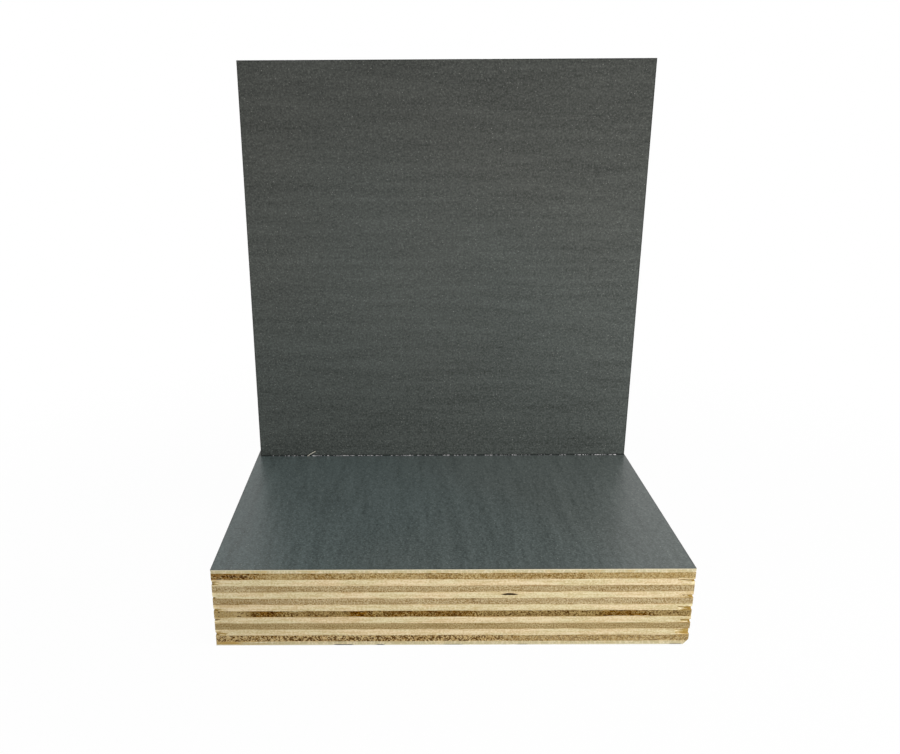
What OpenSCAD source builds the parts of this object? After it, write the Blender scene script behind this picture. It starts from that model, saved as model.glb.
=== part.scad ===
// Two film-faced plywood sheets: one lies flat, and the other stands on it on edge.
// Each sheet is a pressed layup of veneers whose grain turns a quarter at every ply,
// with a phenolic film on both faces. Millimetres, +Z up, front edge towards -Y.

/* [Sheets] */
// Width of the flat sheet, left to right
flat_w = 100; // [60:1:300]
// Depth of the flat sheet, front to back
flat_d = 100; // [60:1:300]
// Width of the standing sheet, left to right
upright_w = 99; // [60:1:300]
// Height of the standing sheet
upright_h = 100; // [60:1:300]

/* [Arrangement] */
// Strip of the flat sheet left free behind the standing sheet
back_margin = 17.8; // [0:0.1:30]
// How far the standing sheet sits to the right of the middle
upright_shift = 0.3; // [-5:0.1:5]

/* [Layup] */
// Number of veneers in each sheet, always odd
ply_count = 13; // [5:2:21]
// Thickness of the phenolic film on each face
film_t = 0.2; // [0.1:0.05:0.5]
// Thickness of the two outer veneers
face_t = 0.65; // [0.4:0.05:2]
// Thickness of the inner veneers whose grain runs left to right
long_t = 1.46; // [0.8:0.02:3]
// Thickness of the veneers whose grain runs front to back
cross_t = 1.5; // [0.8:0.05:3]

/* [Core gap in the front edge] */
// Veneer that the gap is in, counted from the face
gap_ply = 5; // [2:1:12]
// Distance of the gap to the right of the middle
gap_x = 11.8; // [-25:0.1:25]
// Width of the gap along the edge
gap_w = 3.9; // [1:0.1:8]
// Height of the gap at its middle
gap_h = 0.45; // [0.2:0.05:0.7]
// How far the gap runs in from the edge
gap_d = 7; // [1:0.5:20]

/* [Torn front corners] */
// How far a tear runs back along the side
tear_d = 0.9; // [0.3:0.1:3]

/* [Broken lower right corner] */
// Length of the break along the front edge
break_w = 1.1; // [0.3:0.1:4]
// Length of the break along the right side
break_d = 2.6; // [0.3:0.1:6]
// Height of the break
break_h = 1.3; // [0.3:0.1:4]

/* [Hidden] */
// Tears in the ends of the long-grain veneers: veneer, side (-1 left, 1 right), length along the front,
// then where the tear starts and stops as shares of the veneer's thickness, from its underside up
tears = [
    [3, -1, 1.8, 0.15, 0.75], [5, -1, 1.2, 0, 0.3], [7, -1, 3.0, 0, 0.45],
    [9, -1, 2.3, 0.45, 0.75], [11, -1, 2.6, 0, 0.5],
    [3, 1, 3.6, 0.55, 0.9], [5, 1, 3.0, 0, 0.5], [7, 1, 3.2, 0, 0.6],
    [9, 1, 2.4, 0, 0.5], [11, 1, 3.2, 0.1, 1]
];
overcut = 1;
film_colour = "#4b4e4c";
long_colour = "#d8c79e";
cross_colour = "#a8926a";

// Layers are counted from the face down: 0 is the face film, then the veneers, then the back film.
face_film = 0;
back_film = ply_count + 1;
layers = [face_film : back_film];

function is_film(i) = i == face_film || i == back_film;
function is_outer(i) = i == 1 || i == ply_count;
function is_long(i) = i % 2 == 1;
function layer_t(i) = is_film(i) ? film_t : is_outer(i) ? face_t : is_long(i) ? long_t : cross_t;
function depth_to(i) = i == face_film ? 0 : depth_to(i - 1) + layer_t(i - 1);
function layer_colour(i) = is_film(i) ? film_colour : is_long(i) ? long_colour : cross_colour;

sheet_t = depth_to(back_film + 1);
function layer_bottom(i) = sheet_t - depth_to(i + 1);

function two_digits(i) = str(i < 10 ? "0" : "", i);
function layer_name(sheet, i) =
    str(sheet, i == face_film ? "_face_film" : i == back_film ? "_back_film" : str("_ply_", two_digits(i)));

sheets = ["flat", "upright"];

// One layer of a sheet that lies face up, centred on Z with its underside at z = 0
module layer(w, d, i) {
    translate([-w / 2, -d / 2, layer_bottom(i)])
        cube([w, d, layer_t(i)]);
}

// An open gap in a core veneer: flat underneath, arched above
module core_gap() {
    arch_r = (gap_w * gap_w / 4 + gap_h * gap_h) / (2 * gap_h);
    base_z = layer_bottom(gap_ply) + (layer_t(gap_ply) - gap_h) / 2;
    translate([gap_x, gap_d - flat_d / 2, base_z])
        rotate([90, 0, 0])
            linear_extrude(gap_d + overcut)
                intersection() {
                    translate([0, gap_h - arch_r])
                        circle(arch_r, $fn = 96);
                    translate([-gap_w, 0])
                        square([2 * gap_w, 2 * gap_h]);
                }
}

// A splinter torn out of the front end of one veneer, slanting back across the corner
module tear(i, side, l, start, stop) {
    along = l + overcut * l / tear_d;
    back = tear_d + overcut * tear_d / l;
    low = start > 0 ? start * layer_t(i) : -overcut;
    high = stop < 1 ? stop * layer_t(i) : layer_t(i) + overcut;
    translate([side * flat_w / 2, -flat_d / 2, layer_bottom(i) + low])
        mirror([side > 0 ? 1 : 0, 0, 0])
            linear_extrude(high - low)
                polygon([[-overcut, -overcut], [along, -overcut], [-overcut, back]]);
}

// The knocked-off corner at the lower right of the front edge, as one slanting plane
module broken_corner() {
    out = [1 / break_w, -1 / break_d, -1 / break_h];
    reach = 2 * (break_w + break_d + break_h);
    translate([flat_w / 2 - break_w, -flat_d / 2, 0])
        rotate([0, acos(out.z / norm(out)), atan2(out.y, out.x)])
            translate([-reach, -reach, 0])
                cube([2 * reach, 2 * reach, reach]);
}

module flat_layer(i) {
    color(layer_colour(i))
        difference() {
            layer(flat_w, flat_d, i);
            if (i == gap_ply) core_gap();
            for (t = tears) if (t[0] == i) tear(i, t[1], t[2], t[3], t[4]);
            if (layer_bottom(i) < break_h) broken_corner();
        }
}

// The standing sheet is turned up on its edge, with its face to the front
module upright_layer(i) {
    color(layer_colour(i))
        translate([upright_shift, flat_d / 2 - back_margin, sheet_t + upright_h / 2])
            rotate([90, 0, 0])
                layer(upright_w, upright_h, i);
}

for (i = layers) {
    flat_layer(i);
    upright_layer(i);
}
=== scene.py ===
# %% [markdown]
# # Two sheets of film-faced plywood
# A square of dark film-faced plywood lies flat, and a second square stands on it on edge. Each sheet is
# thirteen veneers pressed together. The grain turns a quarter at every veneer, so a sawn edge shows pale
# long grain and brown end grain in turn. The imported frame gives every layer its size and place, and this
# lesson gives each one its sawn edge, its torn ends and its finish.

# %% Load the frame
import math
import random

import bmesh
import bpy
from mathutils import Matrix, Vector


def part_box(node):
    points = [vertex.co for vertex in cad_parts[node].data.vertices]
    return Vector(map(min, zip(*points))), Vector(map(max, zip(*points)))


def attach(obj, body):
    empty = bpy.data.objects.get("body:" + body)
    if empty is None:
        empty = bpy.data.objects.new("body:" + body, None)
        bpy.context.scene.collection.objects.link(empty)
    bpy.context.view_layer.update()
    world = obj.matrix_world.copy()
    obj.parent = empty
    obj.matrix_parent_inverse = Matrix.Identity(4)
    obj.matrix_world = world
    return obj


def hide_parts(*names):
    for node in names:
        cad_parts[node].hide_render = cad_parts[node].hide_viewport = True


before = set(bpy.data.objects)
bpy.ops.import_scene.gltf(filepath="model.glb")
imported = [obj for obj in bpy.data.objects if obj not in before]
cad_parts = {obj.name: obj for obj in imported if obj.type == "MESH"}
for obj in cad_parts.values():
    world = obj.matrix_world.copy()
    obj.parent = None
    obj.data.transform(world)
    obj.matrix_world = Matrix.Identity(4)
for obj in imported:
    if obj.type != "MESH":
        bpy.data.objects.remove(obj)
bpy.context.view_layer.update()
MM = 0.001
PLY_COUNT = sum(name.startswith("flat_ply_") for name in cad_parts)
print("veneers in a sheet:", PLY_COUNT)

# %% [markdown]
# ## Camera
# The picture was taken from a hand's length in front, a little below the top of the standing sheet. The
# camera could be turned until the view looks right, but two sheets with square corners allow better: its
# place, its angles and its lens were worked out so that the corners in view land on their pixels.

# %% Place the camera
PHOTO_W = 900
PHOTO_H = 754
FOCAL_PX = 895.1
CENTRE_PX = (402.5, 429.95)
SENSOR_MM = 36
CAMERA_PLACE = Vector((-9.49, -213.37, 107.06)) * MM
CAMERA_TURN = (70.263, 0.295, 0.157)
NEAREST_SEEN = 0.01

bpy.ops.object.select_all(action="DESELECT")
bpy.ops.object.camera_add(
    location=CAMERA_PLACE,
    rotation=[math.radians(angle) for angle in CAMERA_TURN],
)
camera = bpy.context.object
camera.data.sensor_fit = "HORIZONTAL"
camera.data.sensor_width = SENSOR_MM
camera.data.lens = FOCAL_PX / PHOTO_W * SENSOR_MM
camera.data.shift_x = 0.5 - CENTRE_PX[0] / PHOTO_W
camera.data.shift_y = (CENTRE_PX[1] - PHOTO_H / 2) / PHOTO_W
camera.data.clip_start = NEAREST_SEEN
bpy.context.scene.camera = camera
print("lens in millimetres:", round(camera.data.lens, 2))

# %% [markdown]
# ## Shader arithmetic
# Every finish below is a solid pattern worked out from a point's own place. Linking Math nodes one by one
# hides the idea behind the wiring, so a small class wraps a socket and lets a finish be written as sums.

# %% Write shaders as sums


class Value:
    """One output of a shader node. Arithmetic on it adds Math nodes."""

    def __init__(self, shader, output):
        self.shader = shader
        self.output = output

    def math(self, operation, *values):
        return self.shader.node("ShaderNodeMath", {"operation": operation}, dict(enumerate(values)))

    def __add__(self, other):
        return self.math("ADD", self, other)

    def __radd__(self, other):
        return self.math("ADD", other, self)

    def __sub__(self, other):
        return self.math("SUBTRACT", self, other)

    def __rsub__(self, other):
        return self.math("SUBTRACT", other, self)

    def __mul__(self, other):
        return self.math("MULTIPLY", self, other)

    def __gt__(self, other):
        return self.math("GREATER_THAN", self, other)

    def least(self, other):
        return self.math("MINIMUM", self, other)

    def most(self, other):
        return self.math("MAXIMUM", self, other)

    def rise(self, low, high):
        """0 at low, 1 at high and a smooth step between; it falls where low is the larger."""
        sockets = {"Value": self, "From Min": low, "From Max": high}
        return self.shader.node("ShaderNodeMapRange", {"interpolation_type": "SMOOTHSTEP"}, sockets)

    def within(self, start, end, soft):
        """1 between start and end, with soft ends."""
        return self.rise(start - soft, start + soft) * self.rise(end + soft, end - soft)


class Shader:
    """The nodes of a material or of the world, added one call at a time."""

    def __init__(self, owner):
        self.owner = owner
        owner.use_nodes = True
        self.tree = owner.node_tree
        self.tree.nodes.clear()

    def node(self, kind, settings, sockets, output=0):
        added = self.tree.nodes.new(kind)
        for key, value in settings.items():
            setattr(added, key, value)
        for key, value in sockets.items():
            if isinstance(value, Value):
                self.tree.links.new(value.output, added.inputs[key])
            else:
                added.inputs[key].default_value = value
        return Value(self, added.outputs[output]) if added.outputs else None

    def place(self):
        """The point's own x, y and z in millimetres."""
        point = self.node("ShaderNodeTexCoord", {}, {}, "Object")
        point = self.node("ShaderNodeVectorMath", {"operation": "SCALE"}, {0: point, "Scale": 1 / MM})
        return [self.node("ShaderNodeSeparateXYZ", {}, {0: point}, axis) for axis in range(3)]

    def noise(self, x, y, z, detail, roughness):
        """Noise from 0 to 1 whose grains are about one unit of x, y and z across."""
        point = self.node("ShaderNodeCombineXYZ", {}, {0: x, 1: y, 2: z})
        sockets = {"Vector": point, "Scale": 1.0, "Detail": detail, "Roughness": roughness}
        return self.node("ShaderNodeTexNoise", {}, sockets)

    def mix(self, share, first, second):
        return self.node("ShaderNodeMix", {"data_type": "RGBA"}, {0: share, 6: first, 7: second}, 2)

    def bump(self, height, distance, strength):
        sockets = {"Height": height, "Distance": distance, "Strength": strength}
        return self.node("ShaderNodeBump", {}, sockets)

    def surface(self, sockets):
        """Ends the nodes of a material in one Principled shader."""
        self.close(self.node("ShaderNodeBsdfPrincipled", {}, sockets))

    def close(self, shade, kind="ShaderNodeOutputMaterial"):
        self.node(kind, {}, {"Surface": shade})


def paint(red, green, blue):
    """A colour given as on screen, 0 to 255, in the linear values that shaders use."""
    return [((c / 255 + 0.055) / 1.055) ** 2.4 for c in (red, green, blue)] + [1.0]


def stronger(colour, power):
    """A darker, fuller tone of a colour where power is above 1, and a paler one where it is below."""
    return [channel ** power for channel in colour[:3]] + [1.0]


# %% [markdown]
# ## Floor and light
# The sheets were set against plain white. A white floor meets a white sky at the horizon, and both show
# as white to the camera and in the film's gloss, while the floor keeps a soft shadow close to the sheets.
# The light on them is a dim dome with six soft lamps. The top, front, right and left lamps were each tried
# alone, and their strengths were chosen so that the brightness of the faces and the front edge falls off
# as it does in the picture. A low lamp then brightens the right end of the edge, and a back lamp stands
# low behind the sheets, where it lights their far sides and not their front.

# %% Build the studio
DOME_LIGHT = 0.2
FLOOR_SIZE = 8
FLOOR_DROP = 0.05 * MM
FLOOR_WHITE = (0.55, 0.55, 0.55, 1)
FLOOR_GLOW = 0.98
WHITE = (1, 1, 1, 1)
SHADOW_NEAR = 80
SHADOW_FAR = 220
LAMP_AIM = Vector((0, 0, 0.05))


def shown_white(shader):
    """1 for rays that reach the eye straight, or by way of a glossy or clear surface."""
    rays = [shader.node("ShaderNodeLightPath", {}, {}, f"Is {kind} Ray")
            for kind in ("Camera", "Glossy", "Transmission")]
    return rays[0].most(rays[1]).most(rays[2])


bpy.ops.object.select_all(action="DESELECT")
bpy.ops.mesh.primitive_plane_add(size=FLOOR_SIZE, location=(0, 0, -FLOOR_DROP))
floor = bpy.context.object
floor.name = "floor"
floor_shader = Shader(bpy.data.materials.new("floor_white"))
floor_x, floor_y = floor_shader.place()[:2]
distance = floor_x.math("SQRT", floor_x * floor_x + floor_y * floor_y)
lit = floor_shader.node("ShaderNodeBsdfDiffuse", {}, {"Color": FLOOR_WHITE})
glow = floor_shader.node("ShaderNodeEmission", {}, {"Color": WHITE, "Strength": 1.0})
glowing = FLOOR_GLOW + distance.rise(SHADOW_NEAR, SHADOW_FAR) * (1 - FLOOR_GLOW)
share = shown_white(floor_shader) * glowing
floor_shader.close(floor_shader.node("ShaderNodeMixShader", {}, {0: share, 1: lit, 2: glow}))
floor.data.materials.append(floor_shader.owner)

bpy.context.scene.world = bpy.data.worlds.new("studio")
sky = Shader(bpy.context.scene.world)
level = DOME_LIGHT + shown_white(sky) * (1 - DOME_LIGHT)
white_sky = sky.node("ShaderNodeBackground", {}, {"Color": WHITE, "Strength": level})
sky.close(white_sky, "ShaderNodeOutputWorld")


def soft_lamp(name, place, size, power, sheen=False):
    """A square lamp aimed at the middle of the sheets; only a lamp with sheen shows in their gloss."""
    aim = LAMP_AIM - Vector(place)
    turn = aim.to_track_quat("-Z", "Y").to_euler()
    bpy.ops.object.light_add(type="AREA", location=place, rotation=turn)
    lamp = bpy.context.object
    lamp.name = name
    lamp.visible_camera = False
    lamp.visible_glossy = sheen
    lamp.data.size = size
    lamp.data.energy = power


soft_lamp("top_lamp", (0.5, -0.2, 0.9), 0.6, 6.2)
soft_lamp("front_lamp", (0.005, -0.15, 0.06), 0.1, 0.081, sheen=True)
soft_lamp("right_lamp", (0.12, -0.06, 0.06), 0.08, 0.06)
soft_lamp("low_lamp", (0.13, -0.11, 0.03), 0.04, 0.026)
soft_lamp("left_lamp", (-0.35, -0.2, 0.12), 0.2, 0.16)
soft_lamp("back_lamp", (-0.25, 0.45, 0.035), 0.06, 2.1)
bpy.context.scene.view_settings.view_transform = "Standard"
print("dome level:", DOME_LIGHT)

# %% [markdown]
# ## Sheets, layers and grain
# The flat sheet is pressed along Z and the standing one along Y. Layer 0 is the face film, then come the
# veneers counted from the face, and last the back film. Odd veneers have their grain along X.

# %% Name the layers
PRESSED_ALONG = {"flat": 2, "upright": 1}
AXIS = "XYZ"


def ply_node(sheet, ply):
    return f"{sheet}_ply_{ply:02d}"


def grain_axis(sheet, ply):
    return 0 if ply % 2 else 3 - PRESSED_ALONG[sheet]


print("grain of the second veneer:", {sheet: AXIS[grain_axis(sheet, 2)] for sheet in PRESSED_ALONG})

# %% [markdown]
# ## A sawn blank
# A layer is a square plate, and what shows of it is its rim. A plain cube has no points there to carve, and
# a plate that is finely divided all over wastes a hundred thousand faces inside the sheet. So the two big
# faces come off, the rim is divided into rows and columns, and each face goes back on as one polygon.

# %% Divide the rim of a plate
COLUMN_CUTS = (19, 19)
# How near to 1 the share of a direction along an axis has to be
ALIGNED = 0.9


def pick(piece, kind, test):
    """Selects the points, edges or faces that pass a test, in edit mode."""
    bpy.ops.mesh.select_mode(type=kind)
    bpy.ops.mesh.select_all(action="DESELECT")
    mesh = bmesh.from_edit_mesh(piece.data)
    items = {"VERT": mesh.verts, "EDGE": mesh.edges, "FACE": mesh.faces}[kind]
    for item in items:
        item.select_set(test(item))
    mesh.select_flush_mode()
    bmesh.update_edit_mesh(piece.data)


def runs_along(edge, axis):
    start, end = (vert.co for vert in edge.verts)
    return abs((end - start).normalized()[axis]) > ALIGNED


def make_active(piece):
    bpy.ops.object.select_all(action="DESELECT")
    piece.select_set(True)
    bpy.context.view_layer.objects.active = piece


def add_block(name, lo, hi):
    bpy.ops.object.select_all(action="DESELECT")
    bpy.ops.mesh.primitive_cube_add(size=1, location=(lo + hi) / 2, scale=hi - lo)
    bpy.ops.object.transform_apply(location=True, rotation=True, scale=True)
    piece = bpy.context.object
    piece.name = name
    return piece


def sawn_blank(name, node, thick, rows):
    lo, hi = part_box(node)
    piece = add_block(name, lo, hi)
    middle = (lo[thick] + hi[thick]) / 2
    bpy.ops.object.mode_set(mode="EDIT")
    pick(piece, "FACE", lambda face: abs(face.normal[thick]) > ALIGNED)
    bpy.ops.mesh.delete(type="ONLY_FACE")
    pick(piece, "EDGE", lambda edge: runs_along(edge, thick))
    bpy.ops.mesh.subdivide(number_cuts=rows - 1)
    for cuts in COLUMN_CUTS:
        pick(piece, "EDGE", lambda edge: not runs_along(edge, thick))
        bpy.ops.mesh.subdivide(number_cuts=cuts)
    for upper in (False, True):
        pick(
            piece, "EDGE",
            lambda edge: edge.is_boundary and (edge.verts[0].co[thick] > middle) == upper,
        )
        bpy.ops.mesh.edge_face_add()
    bpy.ops.mesh.select_all(action="SELECT")
    bpy.ops.mesh.normals_make_consistent(inside=False)
    bpy.ops.object.mode_set(mode="OBJECT")
    return piece


# %% [markdown]
# ## Carving the sawn edge
# A saw leaves end grain pitted and long grain lined, because it cuts through the same long tubes from two
# sides. One noise that is drawn out along the fibres gives both: it shows as dots where the fibres end and
# as lines along them. A Displace modifier moves each wall of the rim inwards by it. The noise is held
# between 0 and 1, so no point moves outwards and the sheet keeps its size.

# %% Carve a wall with drawn-out noise
FIBRE_LENGTH = 14 * MM
FIBRE_WIDTH = 0.42 * MM
CRUMB_GRAIN = 0.7 * MM
ON_WALL = 0.01 * MM
RIM_ANGLE = 50
BIG_FACE = 100 * MM * MM


def texture_guide(size):
    """An empty whose space stretches a texture by size along X, Y and Z."""
    bpy.ops.object.empty_add(location=(0, 0, 0))
    guide = bpy.context.object
    guide.scale = size
    return guide


def fibre_size(axis):
    return [FIBRE_LENGTH if index == axis else FIBRE_WIDTH for index in range(3)]


fibre_guides = [texture_guide(fibre_size(axis)) for axis in range(3)]
crumb_guide = texture_guide([CRUMB_GRAIN] * 3)
bpy.context.view_layer.update()


def cloud_texture(name, contrast, brightness):
    texture = bpy.data.textures.new(name, "CLOUDS")
    texture.noise_scale = 1.0
    texture.noise_depth = 2
    texture.use_clamp = True
    texture.contrast = contrast
    texture.intensity = brightness
    return texture


fibre_cloud = cloud_texture("fibre_cloud", contrast=1.0, brightness=1.0)
chip_cloud = cloud_texture("chip_cloud", contrast=3.5, brightness=0.15)


def group_by(piece, name, weight_of):
    """A vertex group whose weights follow from each point's place."""
    group = piece.vertex_groups.new(name=name)
    for vert in piece.data.vertices:
        weight = weight_of(vert.co)
        if weight > 0:
            group.add([vert.index], weight, "REPLACE")
    return group.name


def carve(piece, group, axis, depth, texture, guide, rest=0.0):
    """Moves a group's points along an axis by up to depth, as much as the texture is above rest."""
    modifier = piece.modifiers.new("carving", "DISPLACE")
    modifier.texture = texture
    modifier.texture_coords = "OBJECT"
    modifier.texture_coords_object = guide
    modifier.direction = AXIS[axis]
    modifier.mid_level = rest
    modifier.strength = depth
    modifier.vertex_group = group
    bpy.ops.object.modifier_apply(modifier=modifier.name)


def carve_walls(piece, node, thick, depth_of, texture, guide):
    """Carves the four walls inwards; depth_of gives a wall's depth from its axis and inward side."""
    lo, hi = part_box(node)
    make_active(piece)
    walls = [(axis, inward) for axis in range(3) if axis != thick for inward in (1, -1)]
    for axis, inward in walls:
        plane = lo[axis] if inward > 0 else hi[axis]
        name = f"wall_{axis}_{inward}"
        wall = group_by(piece, name, lambda co: float(abs(co[axis] - plane) < ON_WALL))
        carve(piece, wall, axis, inward * depth_of(axis, inward), texture, guide)
    piece.vertex_groups.clear()


def smooth_rim(piece):
    """Smooth shading on the carved rim, and flat shading on the two big faces."""
    make_active(piece)
    bpy.ops.object.shade_smooth_by_angle(angle=math.radians(RIM_ANGLE))
    bpy.ops.object.mode_set(mode="EDIT")
    pick(piece, "FACE", lambda face: face.calc_area() > BIG_FACE)
    bpy.ops.mesh.faces_shade_flat()
    bpy.ops.object.mode_set(mode="OBJECT")


# %% [markdown]
# ## Veneers
# Each veneer becomes a sawn blank in six rows, carved a little along the grain and more across it. Two
# cross veneers of each sheet were dry and brittle, and the saw tore their end grain out deeply.

# %% Make the veneers
ROWS = 6
LONG_DEPTH = 0.05 * MM
END_DEPTH = {"even": 0.09 * MM, "torn": 0.16 * MM}
TORN_PLIES = (8, 12)
veneers = {}


def make_veneer(sheet, ply):
    node = ply_node(sheet, ply)
    thick = PRESSED_ALONG[sheet]
    grain = grain_axis(sheet, ply)
    end_depth = END_DEPTH["torn" if ply in TORN_PLIES else "even"]
    piece = sawn_blank("veneer_" + node, node, thick, ROWS)
    carve_walls(
        piece, node, thick, lambda axis, inward: end_depth if axis == grain else LONG_DEPTH,
        fibre_cloud, fibre_guides[grain],
    )
    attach(piece, "root")
    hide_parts(node)
    "long_veneer" if ply % 2 else "cross_veneer"
    return piece


for sheet in PRESSED_ALONG:
    for ply in range(1, PLY_COUNT + 1):
        veneers[sheet, ply] = make_veneer(sheet, ply)
print("veneers made:", len(veneers))

# %% [markdown]
# ## Torn ends
# The saw lifted splinters out of the long-grain veneers where it left the front corners. Moving points of
# the rim would fold the corner over itself, so each tear is cut out by a Boolean with a wedge: a block
# whose inner back edge is pulled to the front, divided, and roughened along the fibres.

# %% Cut the torn ends
TEAR_DEPTH = 0.7 * MM
OVERCUT = 1 * MM
TEAR_CUTS = 7
TEAR_RUFFLE = (0, 0.5 * MM, 0.18 * MM)
# Veneer, side (-1 left, 1 right), length along the front, then the lower and upper limit as shares
# of the veneer's thickness; a limit past 0 or 1 cuts right through that face
TEARS = (
    (3, -1, 1.8, 0.15, 0.75), (5, -1, 1.2, -0.1, 0.3), (7, -1, 3.0, -0.1, 0.45), (9, -1, 2.3, 0.45, 0.75),
    (11, -1, 2.6, -0.1, 0.5), (3, 1, 3.6, 0.55, 0.9), (5, 1, 3.0, -0.1, 0.5), (7, 1, 3.2, -0.1, 0.6),
    (9, 1, 2.4, -0.1, 0.5), (11, 1, 3.2, 0.1, 1.1),
)


def subtract(piece, cutter):
    make_active(piece)
    modifier = piece.modifiers.new("cut", "BOOLEAN")
    modifier.operation = "DIFFERENCE"
    modifier.object = cutter
    bpy.ops.object.modifier_apply(modifier=modifier.name)


def drop(piece):
    mesh = piece.data
    bpy.data.objects.remove(piece)
    bpy.data.meshes.remove(mesh)


def roughen(cutter, cuts, amounts, guide):
    """Divides a cutter and ruffles its faces by the amounts along X, Y and Z."""
    make_active(cutter)
    bpy.ops.object.mode_set(mode="EDIT")
    bpy.ops.mesh.select_all(action="SELECT")
    bpy.ops.mesh.subdivide(number_cuts=cuts)
    bpy.ops.object.mode_set(mode="OBJECT")
    for axis, amount in enumerate(amounts):
        if amount:
            carve(cutter, "", axis, amount, fibre_cloud, guide, rest=0.5)


def tear_end(ply, side, length, low, high):
    piece = veneers["flat", ply]
    lo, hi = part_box(ply_node("flat", ply))
    rise = hi.z - lo.z
    end = hi.x if side > 0 else lo.x
    xs = sorted((end + side * OVERCUT, end - side * length * MM))
    outer_depth = TEAR_DEPTH * (1 + OVERCUT / (length * MM))
    cutter = add_block(
        "tear_cutter",
        Vector((xs[0], lo.y - OVERCUT, lo.z + low * rise)),
        Vector((xs[1], lo.y + outer_depth, lo.z + high * rise)),
    )
    inner = end - side * length * MM
    bpy.ops.object.mode_set(mode="EDIT")
    pick(cutter, "VERT", lambda vert: abs(vert.co.x - inner) < MM / 10 and vert.co.y > lo.y)
    bpy.ops.transform.translate(value=(0, -outer_depth, 0))
    bpy.ops.object.mode_set(mode="OBJECT")
    roughen(cutter, TEAR_CUTS, TEAR_RUFFLE, fibre_guides[0])
    subtract(piece, cutter)
    drop(cutter)


for tear in TEARS:
    tear_end(*tear)
print("tears cut:", len(TEARS))

# %% [markdown]
# ## Core gap
# The fifth veneer was laid in two strips that do not quite meet, and a gap shows in the front edge, arched
# above and flat below. A cylinder squeezed flat gives the arch, with its two corners pulled thin and its
# lower half pressed flat, and a Boolean cuts it in.

# %% Cut the core gap
GAP_PLY = 5
GAP_X = 11.8 * MM
GAP_HALF_W = 1.95 * MM
GAP_RISE = 0.42 * MM
GAP_UNDER = 0.1
GAP_LENGTH = 7 * MM
GAP_SIDES = 40
# Past each share of the half width, how far the height is squeezed
GAP_SQUEEZE = ((0.45, 0.8), (0.7, 0.65), (0.85, 0.6))

gap_lo, gap_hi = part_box(ply_node("flat", GAP_PLY))
gap_z = (gap_lo.z + gap_hi.z) / 2
bpy.ops.object.select_all(action="DESELECT")
bpy.ops.mesh.primitive_cylinder_add(
    vertices=GAP_SIDES, radius=1, depth=2, location=(GAP_X, gap_lo.y, gap_z), rotation=(math.pi / 2, 0, 0),
    scale=(GAP_HALF_W, GAP_RISE, GAP_LENGTH),
)
gap_cutter = bpy.context.object
bpy.ops.object.transform_apply(location=True, rotation=True, scale=True)
bpy.ops.object.mode_set(mode="EDIT")
for reach, squeeze in GAP_SQUEEZE:
    pick(gap_cutter, "VERT", lambda vert: abs(vert.co.x - GAP_X) > reach * GAP_HALF_W)
    bpy.ops.transform.resize(value=(1, 1, squeeze), center_override=(GAP_X, gap_lo.y, gap_z))
pick(gap_cutter, "VERT", lambda vert: vert.co.z < gap_z)
bpy.ops.transform.resize(value=(1, 1, GAP_UNDER), center_override=(GAP_X, gap_lo.y, gap_z))
bpy.ops.object.mode_set(mode="OBJECT")
subtract(veneers["flat", GAP_PLY], gap_cutter)
drop(gap_cutter)
print("gap width in millimetres:", 2 * GAP_HALF_W / MM)

# %% [markdown]
# ## Broken corner
# The lower right corner of the front edge was knocked off, through the back film and the last veneers. One
# rough block, turned so that its face lies on the break, cuts all three pieces, so the break runs through.

# %% Break the corner
BREAK_W = 1.1 * MM
BREAK_D = 2.6 * MM
BREAK_H = 1.3 * MM
BREAK_BLOCK = 8 * MM
BREAK_CUTS = 24
BREAK_RUFFLE = [0.3 * MM] * 3


def break_cutter():
    lo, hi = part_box("flat_back_film")
    outward = Vector((1 / BREAK_W, -1 / BREAK_D, -1 / BREAK_H)).normalized()
    on_break = Vector((hi.x - BREAK_W, lo.y, lo.z))
    turn = outward.to_track_quat("Z", "Y").to_euler()
    bpy.ops.object.select_all(action="DESELECT")
    bpy.ops.mesh.primitive_cube_add(
        size=BREAK_BLOCK, location=on_break + outward * BREAK_BLOCK / 2, rotation=turn)
    bpy.ops.object.transform_apply(location=True, rotation=True, scale=True)
    cutter = bpy.context.object
    roughen(cutter, BREAK_CUTS, BREAK_RUFFLE, crumb_guide)
    return cutter


# %% [markdown]
# ## Films
# The film is a sheet of resin-soaked paper, a fifth of a millimetre thick, and brittle: the saw chipped
# its rim. The same rim blank is carved with a cloud of high contrast, which is black over most of the edge
# and white in spots, so that whole stretches stay sharp between the chips.

# %% Make the films
FILM_ROWS = 2
CHIP_DEPTH = {"front": 0.06 * MM, "other": 0.03 * MM}
FRONT_WALL = {"flat": (1, 1), "upright": None}
films = {}
for sheet, thick in PRESSED_ALONG.items():
    for face in ("face", "back"):
        node = f"{sheet}_{face}_film"
        piece = sawn_blank("film_" + node, node, thick, FILM_ROWS)
        carve_walls(
            piece, node, thick,
            lambda axis, inward: CHIP_DEPTH["front" if (axis, inward) == FRONT_WALL[sheet] else "other"],
            chip_cloud, crumb_guide,
        )
        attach(piece, "root")
        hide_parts(node)
        films[sheet, face] = piece

corner_cutter = break_cutter()
for piece in (films["flat", "back"], veneers["flat", PLY_COUNT], veneers["flat", PLY_COUNT - 1]):
    subtract(piece, corner_cutter)
drop(corner_cutter)
for piece in list(veneers.values()) + list(films.values()):
    smooth_rim(piece)
print("films made:", len(films))

# %% [markdown]
# ## Sawdust and splinters
# Grey crumbs of sawdust lie along the foot of the standing sheet, with one pale curled fibre, and loose
# splinters hang in the torn ends. Each crumb is a small ball set down by itself, with its size and place
# drawn from seeded random numbers, and the balls are joined into one piece. The splinters are thin cones.

# %% Set down the crumbs
CRUMB_COUNT = 170
CRUMB_RADIUS = (0.08, 0.15)
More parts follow.
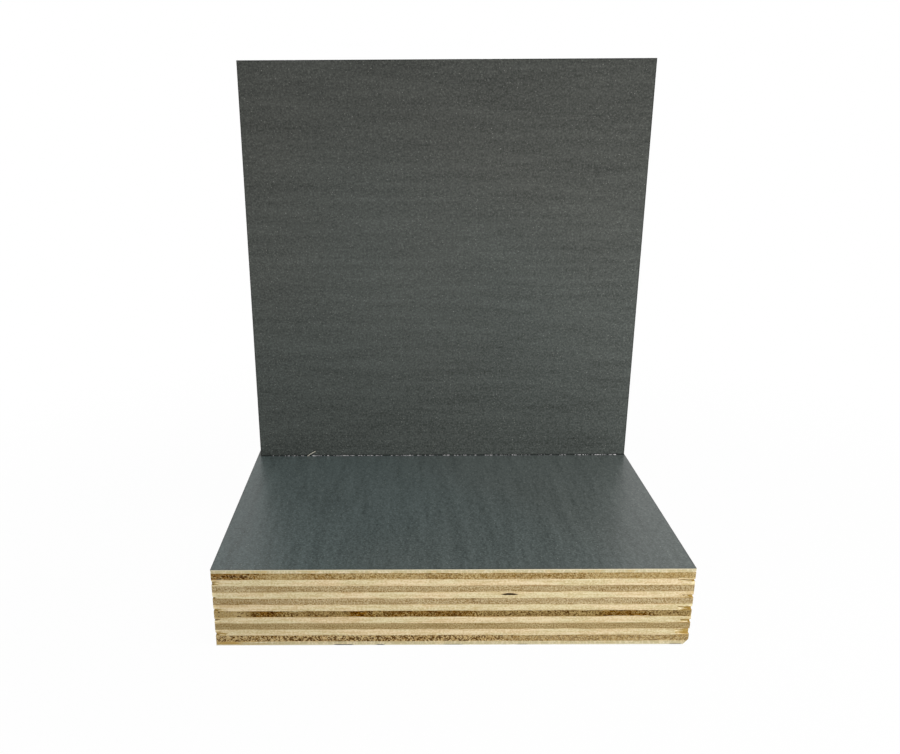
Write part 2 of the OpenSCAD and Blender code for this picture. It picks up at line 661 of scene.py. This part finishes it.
# Shares of a crumb's radius: its distance from the sheet, its height and its length
CRUMB_OUT = (1.2, 2.0)
CRUMB_UP = 0.9
CRUMB_LENGTH = (1.0, 2.6)
CRUMB_TURN = 0.4
CLEAR_LEFT = 3 * MM
CLEAR_RIGHT = 1 * MM
random.seed(7)


def add_crumb(centre, size, turn):
    bpy.ops.mesh.primitive_ico_sphere_add(
        subdivisions=1, radius=1, location=centre, rotation=turn, scale=size)
    return bpy.context.object


def join_as(name, pieces):
    bpy.ops.object.select_all(action="DESELECT")
    for piece in pieces:
        piece.select_set(True)
    bpy.context.view_layer.objects.active = pieces[0]
    bpy.ops.object.join()
    bpy.ops.object.transform_apply(location=True, rotation=True, scale=True)
    joined = bpy.context.object
    joined.name = name
    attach(joined, "root")
    return joined


foot_lo, foot_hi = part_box("upright_face_film")
crumbs = []
for index in range(CRUMB_COUNT):
    radius = random.uniform(*CRUMB_RADIUS) * MM
    centre = Vector((
        random.uniform(foot_lo.x + CLEAR_LEFT, foot_hi.x - CLEAR_RIGHT),
        foot_lo.y - radius * random.uniform(*CRUMB_OUT),
        foot_lo.z + radius * CRUMB_UP,
    ))
    size = [radius * random.uniform(*CRUMB_LENGTH), radius, radius]
    crumbs.append(add_crumb(centre, size, (0, 0, random.uniform(-CRUMB_TURN, CRUMB_TURN))))
crumbs = join_as("crumbs", crumbs)
print("crumbs:", CRUMB_COUNT)

# %% Curl the fibre
FIBRE_THICKNESS = 0.11 * MM
FIBRE_STEPS = 12
FIBRE_STRIDE = 0.19 * MM
FIBRE_LIFT = 0.13
# The fibre's near end: along X, out from the standing sheet and up from the flat one
FIBRE_X = -36.5 * MM
FIBRE_OUT = 0.4 * MM
FIBRE_UP = 0.1 * MM
bpy.ops.object.select_all(action="DESELECT")
bpy.ops.mesh.primitive_circle_add(
    vertices=6, radius=FIBRE_THICKNESS, fill_type="NGON", rotation=(0, math.pi / 2, 0))
curl = bpy.context.object
bpy.ops.object.transform_apply(location=True, rotation=True, scale=True)
bpy.ops.object.mode_set(mode="EDIT")
bpy.ops.mesh.select_all(action="SELECT")
bpy.ops.transform.translate(value=(FIBRE_X, foot_lo.y - FIBRE_OUT, foot_lo.z + FIBRE_UP))
for step in range(FIBRE_STEPS):
    lift = FIBRE_LIFT * math.cos(math.pi / 3 * step / FIBRE_STEPS) * MM
    bpy.ops.mesh.extrude_region_move(TRANSFORM_OT_translate={"value": (FIBRE_STRIDE, 0, lift)})
bpy.ops.mesh.select_all(action="SELECT")
bpy.ops.mesh.normals_make_consistent(inside=False)
bpy.ops.object.mode_set(mode="OBJECT")
curl = join_as("curled_fibre", [curl])
print("curled fibre steps:", FIBRE_STEPS)

# %% Hang the splinters
SPLINTERS_IN_A_TEAR = 7
SPLINTER_REACH = (0.4, 0.8)
SPLINTER_THICKNESS = (0.07, 0.14)
SPLINTER_LEAN = 0.14
splinters = []
for ply, side, length, low, high in TEARS:
    lo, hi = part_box(ply_node("flat", ply))
    for index in range(SPLINTERS_IN_A_TEAR):
        reach = length * random.uniform(*SPLINTER_REACH) * MM
        level = random.choice((low, high, (low + high) / 2)) + random.uniform(-0.1, 0.1)
        share = max(0.1, min(0.9, level))
        end = hi.x if side > 0 else lo.x
        thickness = random.uniform(*SPLINTER_THICKNESS) * MM
        centre = Vector((
            end - side * (length * MM - reach / 2 + random.uniform(-0.2, 0.1) * MM),
            lo.y + thickness + random.uniform(0.02, 0.1) * MM,
            lo.z + share * (hi.z - lo.z),
        ))
        lean = random.uniform(-SPLINTER_LEAN, SPLINTER_LEAN)
        bpy.ops.mesh.primitive_cone_add(
            vertices=5, radius1=thickness, radius2=thickness / 4, depth=reach, location=centre,
            rotation=(0, side * math.pi / 2 + lean, 0),
        )
        splinters.append(bpy.context.object)
splinters = join_as("splinters", splinters)
print("splinters:", SPLINTERS_IN_A_TEAR * len(TEARS))

# %% [markdown]
# ## Veneer finish
# Pale long grain and brown end grain are one wood seen from two sides. The shader works in the veneer's
# own directions: along the fibres, across them, and up through its thickness. Noise that is drawn out
# along the fibres gives lines or dots by itself, and the nearer pair of walls decides which tone shows.

# %% Finish the veneers
CREAM = paint(224, 211, 175)
STRAW = paint(187, 162, 115)
ROSE = paint(221, 196, 158)
SAGE = paint(203, 192, 150)
TAN = paint(180, 160, 116)
SAND = paint(182, 162, 119)
OCHRE = paint(175, 151, 98)
OLIVE = paint(172, 151, 103)
UMBER = paint(142, 115, 60)
DRY = paint(183, 159, 109)
RUST = paint(121, 80, 16)
BURNT = paint(63, 32, 0)
CHAR = paint(74, 44, 9)
SPLIT = paint(194, 166, 104)
HONEY = paint(186, 156, 92)
PAINTED_DEEP_SHADE = paint(48, 22, 0)
GLUE = paint(132, 92, 36)
FUZZ = paint(226, 214, 182)
CHAFF = paint(218, 193, 140)
FRINGE = paint(244, 231, 186)
PULP = paint(206, 198, 169)

# Each cross veneer: its tone, the contrast of its grain and of its rings, how dark its pores get, the place
# along X where its crosshatch ends, and its stains and paler stretches as start, end and strength along X
# in millimetres
CROSS_LOOKS = {
    2: {"tone": OCHRE, "grain": 3.4, "rings": 0.9, "pores": 0.3,
        "bleached": ((-38, -32, 0.3), (28, 52, 0.3)),
        "stains": ((-51, -41, 0.9), (-42, -38, 0.1), (-31, -19, 0.3), (-7, 1, 0.3), (8, 27, 0.15))},
    4: {"tone": TAN, "grain": 2.8, "rings": 0.8, "pores": 0.15, "stains": ((26, 52, 0.09),)},
    6: {"tone": SAND, "grain": 2.8, "rings": 0.6, "pores": 0.2, "stains": ((2, 6, 0.3),)},
    8: {"tone": UMBER, "grain": 7.0, "rings": 0.8, "pores": 0.8,
        "bleached": ((-52, -43, 0.8), (-34, -23, 0.3), (5, 30, 0.2), (41, 52, 0.35)),
        "stains": ((-42, -36, 1.0), (-33, -24, 0.15), (-21, -17, 1.4), (-13, 4, 0.6), (31, 41, 0.75))},
    10: {"tone": OLIVE, "grain": 2.2, "rings": 0.4, "pores": 0.05, "stains": ((40, 52, 0.09),)},
    12: {"tone": DRY, "grain": 3.8, "rings": 0.8, "pores": 0.3, "hatched_to": 11,
         "bleached": ((14, 52, 0.5),)},
}
# The inside of a tear on the right and on the left, with painted light: paler on the left, where the tear
# lies in shadow, and darker on the right, where the lamps are stronger; then the strength of the painted
# shade under its overhang
TORN_WITH_PAINTED_SIDE_LIGHT = {1: paint(158, 126, 56), -1: paint(176, 146, 82)}
PAINTED_OVERHANG_SHADE = {1: 0.55, -1: 0.4}
# How worn the two outer veneers are, and where one is glue-stained, along X in millimetres
OUTER_WEAR = {1: 0.6, PLY_COUNT: 0.3}
OUTER_STAIN = (-52, -41)
# How far the ends of a stain wander and fade, and how slowly the crosshatch fades, in millimetres
STAIN_WANDER = 8
STAIN_FADE = 1.2
HATCH_FADE = 6
# Steps in the noise from veneer to veneer and from sheet to sheet
PLY_SEED = 17.3
SHEET_SEED = 311
VENEER_RELIEF = 0.06 * MM


def nearest_edge(value, low, high):
    return (value - low).least(high - value)


def long_grain(shader, along, across, up, seed):
    """Long grain: pale with darker lines, and a tint that drifts over centimetres."""
    streak = shader.noise(along * 0.1 + seed, across * 2.4, up * 2.4, 3, 0.6)
    blotch = shader.noise(along * 0.5 + seed, across * 0.9, up * 0.9, 2, 0.5)
    grit = shader.noise(along * 2.2 + seed, across * 3.4, up * 3.4, 1, 0.5)
    drift = shader.noise(along * 0.06 + seed, across * 0.06, up * 0.4, 2, 0.5)
    tone = 0.58 + (streak - 0.5) * 2.8 + (blotch - 0.5) * 1.3 + (grit - 0.5) * 2.8
    tint = shader.mix(drift.rise(0.42, 0.58), SAGE, ROSE)
    return shader.mix(0.35, shader.mix(tone, STRAW, CREAM), tint), streak


def cut_ends(shader, along, across, up, seed, look):
    """End grain: rings, fine grain and pores, then the crosshatch and the stains of its look."""
    tone = look["tone"]
    rings = shader.noise(across * 0.12, up * 1.8, along * 0.05 + seed, 2, 0.5)
    grain = shader.noise(across * 3.4, up * 3.4, along * 0.06 + seed, 2, 0.65)
    patch = shader.noise(across * 0.14 + seed, up * 0.25, along * 0.02, 2, 0.5)
    pattern = 0.5 + (grain - 0.5) * look["grain"] * (0.4 + patch * 1.2)
    pattern = pattern + (rings - 0.5) * look["rings"] + (patch - 0.5) * 0.5
    colour = shader.mix(pattern, stronger(tone, 1.9), stronger(tone, 0.76))
    edge = across + (grain - 0.5) * STAIN_WANDER
    for start, end, strength in look.get("bleached", ()):
        paler = shader.mix(pattern, OCHRE, SAND)
        colour = shader.mix(edge.within(start, end, STAIN_FADE) * strength, colour, paler)
    pore = shader.noise(across * 2.4, up * 2.8, along * 0.06 + seed + 3, 0, 0.5)
    colour = shader.mix(pore.rise(0.38, 0.28) * look["pores"], colour, BURNT)
    if "hatched_to" in look:
        rising = shader.noise((across + up) * 2.5, (up - across) * 1.1, along * 0.06 + seed + 5, 1, 0.5)
        falling = shader.noise((across - up) * 2.5, (up + across) * 1.1, along * 0.06 + seed + 7, 1, 0.5)
        hatched = across.rise(look["hatched_to"] + HATCH_FADE, look["hatched_to"] - HATCH_FADE)
        colour = shader.mix(rising.most(falling).rise(0.54, 0.64) * hatched * 0.45, colour, CHAFF)
        crossing = rising.least(falling).rise(0.435, 0.39)
        colour = shader.mix(crossing * (0.45 + hatched * 0.45), colour, CHAR)
    streaky = shader.noise(across * 0.6, up * 2.0, along * 0.05 + seed + 9, 2, 0.6)
    clump = shader.noise(across * 0.9, up * 1.2, along * 0.05 + seed + 11, 2, 0.6)
    for start, end, strength in look.get("stains", ()):
        stain = edge.within(start, end, STAIN_FADE) * strength
        colour = shader.mix(stain * streaky.rise(0.36, 0.56) * 0.75, colour, RUST)
        colour = shader.mix(stain * (grain * 0.6 + clump * 1.4).rise(1.0, 0.84), colour, BURNT)
    return colour, pattern


def torn_insides(shader, colour, place, recess, streak, ply):
    """The insides of the tears in a veneer and in the one above it: ochre lines, painted paler on the
    shadowed left and darker on the right, and painted shade under an overhang.
    """
    lo, hi = (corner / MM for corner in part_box(ply_node("flat", ply)))
    height = (place[2] - lo.z) * (1 / (hi.z - lo.z))
    for torn_ply, side, length, low, high in TEARS:
        if torn_ply == ply:
            band = height.within(low - 0.2, high, 0.08)
        elif torn_ply == ply - 1 and low < 0:
            band = height.rise(0.94, 0.98)
        else:
            continue
        from_corner = hi.x - place[0] if side > 0 else place[0] - lo.x
        inside = (from_corner + (streak - 0.5) * 3).rise(length + 0.3, length - 0.3)
        inside = inside * band * recess.rise(0.04, 0.1)
        # Painted light: the left tone is the paler one, to make up for the shadow in the left tears.
        fibres = shader.mix(streak.rise(0.42, 0.66), TORN_WITH_PAINTED_SIDE_LIGHT[side], stronger(TORN_WITH_PAINTED_SIDE_LIGHT[side], 0.7))
        colour = shader.mix(inside * 0.85, colour, fibres)
        # Painted shade: a dark band under the tear's overhang, weaker on the left where real shadow already
        # falls.
        if torn_ply == ply:
            shade = inside * height.rise(high - 0.3, high - 0.06)
            colour = shader.mix(shade * PAINTED_OVERHANG_SHADE[side], colour, BURNT)
    return colour


def veneer_finish(sheet, ply):
    node = ply_node(sheet, ply)
    thick = PRESSED_ALONG[sheet]
    grain = grain_axis(sheet, ply)
    cross = 3 - thick - grain
    lo, hi = (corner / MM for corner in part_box(node))
    seed = PLY_SEED * ply + SHEET_SEED * (sheet == "upright")
    laid = ply if sheet == "flat" else PLY_COUNT + 1 - ply
    look = CROSS_LOOKS.get(laid, CROSS_LOOKS[4])
    shader = Shader(bpy.data.materials.new("finish_" + node))
    place = shader.place()
    along, across, up = place[grain], place[cross], place[thick]
    from_end = nearest_edge(along, lo[grain], hi[grain])
    from_side = nearest_edge(across, lo[cross], hi[cross])
    from_glue = nearest_edge(up, lo[thick], hi[thick])
    recess = from_end.least(from_side)
    end_grain = from_side > from_end
    lines, streak = long_grain(shader, along, across, up, seed)
    inner = ply not in (1, PLY_COUNT)
    if inner:
        lines = shader.mix(from_end.rise(4.0, 0.5) * streak.rise(0.56, 0.44) * 0.25, lines, HONEY)
    if inner and ply % 2:
        lines = shader.mix(from_end.rise(1.1, 0.2) * streak.rise(0.42, 0.56) * 0.7, lines, FRINGE)
    lines = shader.mix(recess.rise(0.12, 0.3) * streak.rise(0.25, 0.6), lines, SPLIT)
    ends, pattern = cut_ends(shader, along, across, up, seed, look)
    # Deeper in, odd veneers take the split-wood colour, while cross veneers take a darker tone: painted
    # shade in their pits.
    split_colour_or_pit_shade = SPLIT if ply % 2 else stronger(look["tone"], 1.7)
    ends = shader.mix(recess.rise(0.1, 0.3) * 0.5, ends, split_colour_or_pit_shade)
    wander = (shader.noise(across * 0.14, up * 0.8, along * 0.02 + seed, 3, 0.6) - 0.46) * 0.6
    ends = shader.mix((wander - from_glue).rise(-0.03, 0.03), ends, lines)
    colour = shader.mix(end_grain, lines, ends)
    glue_run = shader.noise(across * 0.15, along * 0.15, seed, 3, 0.6).rise(0.5, 0.65)
    colour = shader.mix(from_glue.rise(0.2, 0.04) * glue_run * 0.5, colour, GLUE)
    colour = shader.mix(from_glue.rise(0.03, 0.0) * 0.7, colour, SPLIT)
    if sheet == "flat":
        colour = torn_insides(shader, colour, place, recess, streak, ply)
    # Painted shade: deep inside the gap the wood turns nearly black.
    colour = shader.mix(recess.rise(0.9, 2.2), colour, PAINTED_DEEP_SHADE)
    if not inner:
        tuft = shader.noise(place[0] * 2.0, place[1] * 2.0, place[2] + seed, 2, 0.6)
        worn = shader.noise(place[0] * 0.16, place[1] * 0.16, place[2] * 0.5 + seed, 3, 0.6)
        colour = shader.mix(0.6, colour, PULP)
        colour = shader.mix(worn.rise(0.54, 0.4) * OUTER_WEAR[ply], colour, HONEY)
        colour = shader.mix(from_glue.rise(0.25, 0.04) * tuft.rise(0.52, 0.62) * 0.6, colour, FUZZ)
        colour = shader.mix(tuft.rise(0.6, 0.42) * 0.75, colour, stronger(PULP, 1.55))
    if node == ply_node("flat", PLY_COUNT):
        ragged = place[0] + (streak - 0.5) * 30
        colour = shader.mix(ragged.within(*OUTER_STAIN, 2) * 0.85, colour, stronger(HONEY, 1.15))
    if node == ply_node("flat", GAP_PLY):
        gap_left = (GAP_X - GAP_HALF_W) / MM
        gap_right = (GAP_X + GAP_HALF_W) / MM
        # The arch of the gap is tinted rust-brown, and deeper in, its hollow is painted with deep shade.
        arch_tint = place[2].within(gap_z / MM, (gap_z + GAP_RISE) / MM, 0.16)
        arch_tint = arch_tint * place[0].within(gap_left + 0.5, gap_right - 0.5, 0.7)
        colour = shader.mix(arch_tint * 0.6, colour, RUST)
        painted_gap_shade = place[0].within(gap_left, gap_right, 0.2) * recess.rise(0.04, 0.14)
        colour = shader.mix(painted_gap_shade, colour, PAINTED_DEEP_SHADE)
    relief = streak * (1 - end_grain) + pattern * end_grain
    shader.surface({
        "Base Color": colour,
        "Roughness": 0.72 + streak * 0.2,
        "Specular IOR Level": 0.0,
        "Normal": shader.bump(relief, VENEER_RELIEF, 0.6),
    })
    return shader.owner


def dust_finish(name, tones):
    shader = Shader(bpy.data.materials.new("finish_" + name))
    x, y, z = shader.place()
    dust = shader.noise(x * 0.9, y * 0.9, z * 3, 2, 0.6)
    shader.surface({"Base Color": shader.mix(dust.rise(0.35, 0.65), *tones), "Roughness": 0.8})
    return shader.owner


def wear(piece, finish):
    piece.data.materials.clear()
    piece.data.materials.append(finish)


for (sheet, ply), piece in veneers.items():
    wear(piece, veneer_finish(sheet, ply))
wear(crumbs, dust_finish("crumbs", (paint(130, 129, 131), paint(200, 197, 198))))
wear(curl, dust_finish("curled_fibre", (paint(206, 200, 182), paint(232, 228, 212))))
wear(splinters, dust_finish("splinters", (paint(222, 202, 154), paint(248, 236, 198))))
print("veneer finishes:", len(veneers))

# %% [markdown]
# ## Film finish
# The film is dark resin with the paper's fibres in it: a fine mottle, pale specks, and faint bands where
# the veneer below shows through. It is satin, so the roughness and a slight bump follow the same mottle.

# %% Finish the films
# Dark, then light on a greener and on a greyer stretch, then the specks
FILM_TONES = {
    "flat": (paint(38, 44, 42), paint(104, 116, 115), paint(108, 115, 112), paint(166, 172, 164)),
    "upright": (paint(40, 42, 40), paint(102, 108, 104), paint(104, 106, 101), paint(170, 170, 164)),
}
FILM_GLOSS = {"flat": 0.27, "upright": 0.08}
FILM_ROUGHNESS = {"flat": 0.37, "upright": 0.45}
BAND_DETAIL = {"flat": 3, "upright": 1.5}
BAND_CONTRAST = {"flat": 0.5, "upright": 0.38}
CLOUD_CONTRAST = {"flat": 0.65, "upright": 0.5}
# The dark resin of a cut rim, also used as painted contact shade along the foot of the standing sheet
FILM_RIM_AND_CONTACT_SHADE = paint(30, 32, 31)
FILM_RELIEF = 0.02 * MM
# A band of painted light across the middle of the standing sheet, paler than its top and foot, in
# millimetres from its middle
PAINTED_GLOW_REACH = 20
PAINTED_GLOW_FADE = 25
foot_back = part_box("upright_back_film")[1].y
# Where the back film still reaches the front edge: start and end along X in millimetres, and how much
FILM_REMNANTS = ((-25, -21, 0.9), (-16, -14.4, 0.9), (-1.7, 2.3, 0.4), (13.8, 16, 0.4), (46, 48.5, 0.6))
BANDS_ALONG = {"flat": 1, "upright": 0}


def film_finish(sheet, face):
    node = f"{sheet}_{face}_film"
    thick = PRESSED_ALONG[sheet]
    lo, hi = (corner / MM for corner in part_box(node))
    dark, green, grey, pale = FILM_TONES[sheet]
    shader = Shader(bpy.data.materials.new("finish_" + node))
    place = shader.place()
    banded = BANDS_ALONG[sheet]
    stacked = 3 - thick - banded
    along, across = place[banded], place[stacked]
    seed = 5.0 * len(node)
    fine = shader.noise(along * 2.0, across * 2.0, seed, 3, 0.75)
    cloud = shader.noise(along * 0.6, across * 0.9, seed, 3, 0.6)
    band = shader.noise(along * 0.04, across * 0.4, seed, BAND_DETAIL[sheet], 0.6)
    drift = shader.noise(along * 0.02, across * 0.02, seed, 1, 0.5)
    drift = drift + (across - lo[stacked]) * (1 / (hi[stacked] - lo[stacked]))
    tone = 0.18 + fine * fine * fine * 2.2
    tone = tone + (cloud - 0.5) * CLOUD_CONTRAST[sheet] + (band - 0.5) * BAND_CONTRAST[sheet]
    if sheet == "upright":
        middle = (lo.z + hi.z) / 2
        # Painted light: the standing film is made paler across its middle, as the lamps would light it
        # there.
        painted_glow = place[2].within(middle - PAINTED_GLOW_REACH, middle + PAINTED_GLOW_REACH, PAINTED_GLOW_FADE)
        tone = tone - 0.02 + painted_glow * 0.07
    colour = shader.mix(tone, dark, shader.mix(drift.rise(0.6, 1.4), green, grey))
    speck = shader.noise(along * 3.4, across * 3.4, seed + 9, 0, 0.5).rise(0.74, 0.86)
    colour = shader.mix(speck * 0.6, colour, pale)
    rim = nearest_edge(along, lo[banded], hi[banded])
    rim = rim.least(nearest_edge(across, lo[stacked], hi[stacked]))
    colour = shader.mix(rim.rise(0.3, 0.05) * 0.7, colour, FILM_RIM_AND_CONTACT_SHADE)
    if node == "upright_face_film":
        # Darker along the foot of the standing film: partly the dark resin of its chipped edge, partly
        # painted contact shade.
        colour = shader.mix(place[2].rise(lo.z + 0.5, lo.z + 0.2) * 0.5, colour, FILM_RIM_AND_CONTACT_SHADE)
    if node == "flat_face_film":
        # Painted contact shade: a dark band on the flat film just in front of and under the standing sheet.
        painted_contact_shade = place[1].within(foot_lo.y / MM - 0.3, foot_back / MM + 0.3, 0.15)
        colour = shader.mix(painted_contact_shade * 0.5, colour, FILM_RIM_AND_CONTACT_SHADE)
        front = place[1].rise(lo.y + 0.4, lo.y + 0.2)
        colour = shader.mix(front * place[2].rise(hi.z - 0.01, hi.z - 0.03), colour, PULP)
    if node == "flat_back_film":
        left = 0.0
        for start, end, share in FILM_REMNANTS:
            left = (place[0].within(start, end, 0.4) * share).most(left)
        colour = shader.mix((1 - left) * rim.rise(1.0, 0.5), colour, PULP)
    shader.surface({
        "Base Color": colour,
        "Roughness": FILM_ROUGHNESS[sheet] + (fine - 0.5) * 0.3 + (band - 0.5) * 0.1,
        "Specular IOR Level": FILM_GLOSS[sheet],
        "Normal": shader.bump(fine + band, FILM_RELIEF, 0.4),
    })
    return shader.owner


for (sheet, face), piece in films.items():
    wear(piece, film_finish(sheet, face))
print("film finishes:", len(films))

# %% [markdown]
# ## Close
# The helper empties go.

# %% Close
for guide in fibre_guides + [crumb_guide]:
    bpy.data.objects.remove(guide)
